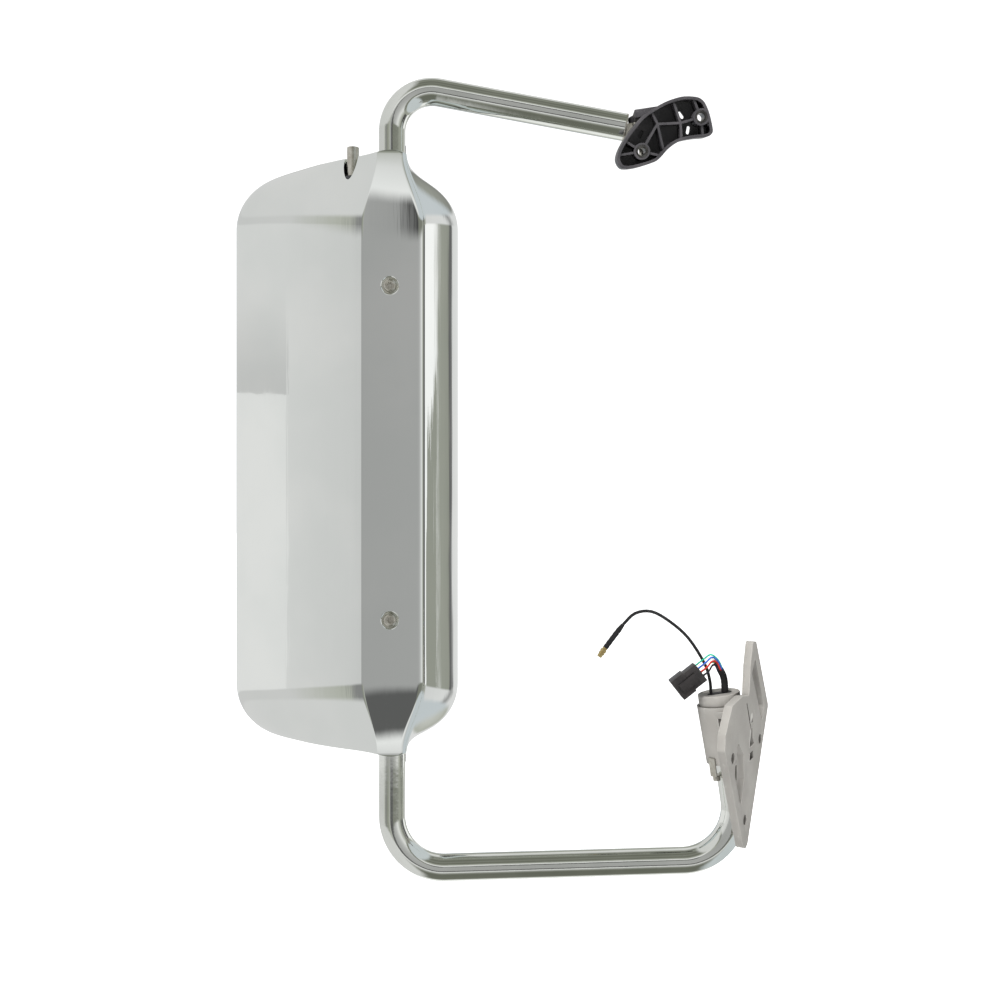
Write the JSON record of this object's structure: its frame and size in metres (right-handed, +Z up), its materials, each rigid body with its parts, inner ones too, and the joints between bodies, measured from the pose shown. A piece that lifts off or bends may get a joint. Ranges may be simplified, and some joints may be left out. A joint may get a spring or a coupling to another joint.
{
  "type": "truck door mirror",
  "caption": "Tall chromed truck door mirror on a C-shaped tube arm that folds between a cast lower bracket and a ribbed upper one, with a main and a convex glass.",
  "frame": {"origin": "middle of the two upper door bolt holes, on the lower bracket's door face", "axes": "+X into the door, square to the door face; +Y towards the rear of the vehicle; +Z up"},
  "size_m": [0.5713, 0.2731, 0.8666],
  "materials": {
    "cast": "as cast, bead blasted",
    "chrome_tube": "polished chrome plate",
    "chrome_plastic": "chrome-plated plastic",
    "steel": "zinc plated",
    "black_plastic": "moulded, satin",
    "white_plastic": "acetal",
    "black_rubber": "matt",
    "brass": "turned",
    "mirror": "silvered glass",
    "heater": "printed film",
    "wire_green": "wire insulation",
    "wire_white": "wire insulation",
    "wire_yellow": "wire insulation",
    "wire_navy": "wire insulation",
    "wire_blue": "wire insulation",
    "wire_red": "wire insulation"
  },
  "bodies": {
    "door_bracket": {"lower_bracket": "cast", "socket_cap": "cast", "outlet_seal": "black_rubber", "lower_bush": "black_plastic", "upper_bush": "black_plastic", "fixed_detent_ring": "steel", "socket_clip": "steel", "clip_screw": "steel", "wire_sleeve": "black_rubber", "wire_green": "wire_green", "wire_white": "wire_white", "wire_yellow": "wire_yellow", "wire_navy": "wire_navy", "wire_blue": "wire_blue", "wire_red": "wire_red", "wire_black": "black_rubber", "connector_body": "black_plastic", "connector_lock": "black_plastic", "coax_cable": "black_rubber", "coax_boot": "black_rubber", "coax_plug": "brass"},
    "arm": {"arm_tube": "chrome_tube", "moving_detent_ring": "steel", "disc_springs": "steel", "retaining_nut": "steel", "arm_end_fitting": "steel", "harness": "black_rubber"},
    "upper_mount": {"upper_bracket": "black_plastic", "pivot_bolt": "steel", "pivot_insert": "steel", "boss_inserts": "steel"},
    "head": {"chrome_cover": "chrome_plastic", "bezel": "black_plastic", "backplate": "black_plastic", "post_clamps": "steel", "clamp_bolts": "steel", "cover_screws": "steel", "bezel_screws": "steel", "post_grommets": "black_rubber", "antenna_cup": "black_plastic", "antenna_stud": "steel", "actuator_housing": "black_plastic", "drive_motors": "steel", "drive_gears": "white_plastic", "convex_base": "black_plastic"},
    "pan_push": {"pan_plunger": "white_plastic"},
    "tilt_push": {"tilt_plunger": "white_plastic"},
    "main_pivot": {"main_gimbal": "black_plastic"},
    "main_mirror": {"main_holder": "black_plastic", "main_heater": "heater", "main_glass": "mirror"},
    "convex_pivot": {"convex_gimbal": "black_plastic"},
    "convex_mirror": {"convex_holder": "black_plastic", "convex_heater": "heater", "convex_glass": "mirror"}
  },
  "joints": [
    {"name": "arm_fold", "type": "hinge", "parent": "door_bracket", "child": "arm", "pos_m": [-0.02797, 0.02509, -0.021], "axis": [-0.1202, -0.0666, 0.9905], "range_deg": [-60, 45]},
    {"name": "upper_swivel", "type": "hinge", "parent": "arm", "child": "upper_mount", "pos_m": [-0.11056, -0.0207, 0.65953], "axis": [-0.1202, -0.0666, 0.9905], "range_deg": [-10, 130]},
    {"name": "head_swivel", "type": "hinge", "parent": "arm", "child": "head", "pos_m": [-0.34546, -0.1509, 0.31], "axis": [0, 0, 1], "range_deg": [-15, 15]},
    {"name": "main_pan", "type": "hinge", "parent": "head", "child": "main_pivot", "pos_m": [-0.44473, -0.09845, 0.428], "axis": [0, 0, 1], "range_deg": [-6, 6]},
    {"name": "main_tilt", "type": "hinge", "parent": "main_pivot", "child": "main_mirror", "pos_m": [-0.44473, -0.09845, 0.428], "axis": [0.8746, 0.4848, 0], "range_deg": [-4, 4]},
    {"name": "pan_travel", "type": "slide", "parent": "head", "child": "pan_push", "axis": [-0.4848, 0.8746, 0], "range_m": [-0.0036, 0.0036]},
    {"name": "tilt_travel", "type": "slide", "parent": "head", "child": "tilt_push", "axis": [-0.4848, 0.8746, 0], "range_m": [-0.0024, 0.0024]},
    {"name": "convex_pan", "type": "hinge", "parent": "head", "child": "convex_pivot", "pos_m": [-0.44473, -0.09845, 0.108], "axis": [0, 0, 1], "range_deg": [-6, 6]},
    {"name": "convex_tilt", "type": "hinge", "parent": "convex_pivot", "child": "convex_mirror", "pos_m": [-0.44473, -0.09845, 0.108], "axis": [0.8746, 0.4848, 0], "range_deg": [-4, 4]}
  ],
  "couplings": [
    {"joint": "pan_travel", "follows": "main_pan", "m_per_rad": -0.034},
    {"joint": "tilt_travel", "follows": "main_tilt", "m_per_rad": 0.034}
  ]
}
